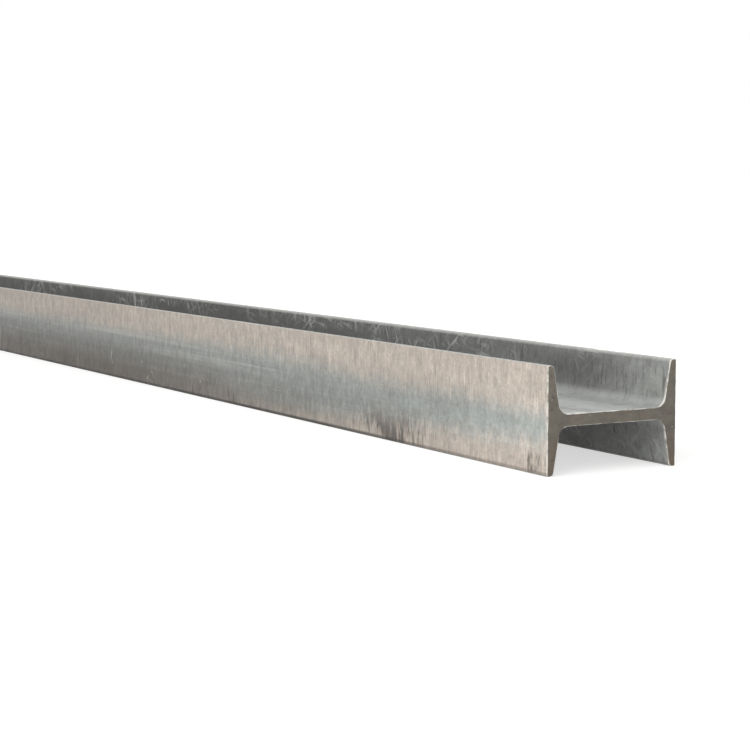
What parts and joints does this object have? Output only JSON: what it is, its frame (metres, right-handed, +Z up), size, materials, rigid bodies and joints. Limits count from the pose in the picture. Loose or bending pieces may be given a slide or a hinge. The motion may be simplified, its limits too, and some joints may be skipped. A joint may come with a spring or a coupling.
{
  "type": "steel i-beam",
  "caption": "Length of hot-rolled steel I-beam with sloping inner flange faces and square cut ends, lying web level on its flange toes.",
  "frame": {"origin": "centre of the beam's length and depth, on the floor under the flange toes", "axes": "+Y along the beam, +X across the depth of the section from flange to flange, +Z up across the width of the flanges"},
  "size_m": [0.1016, 6.096, 0.071],
  "materials": {
    "rolled_steel": "hot-rolled, thin dull grey mill scale with pinkish-brown bands and light scuffs, bare darker metal on the cut ends"
  },
  "bodies": {
    "root": {"i_beam": "rolled_steel"}
  },
  "joints": []
}
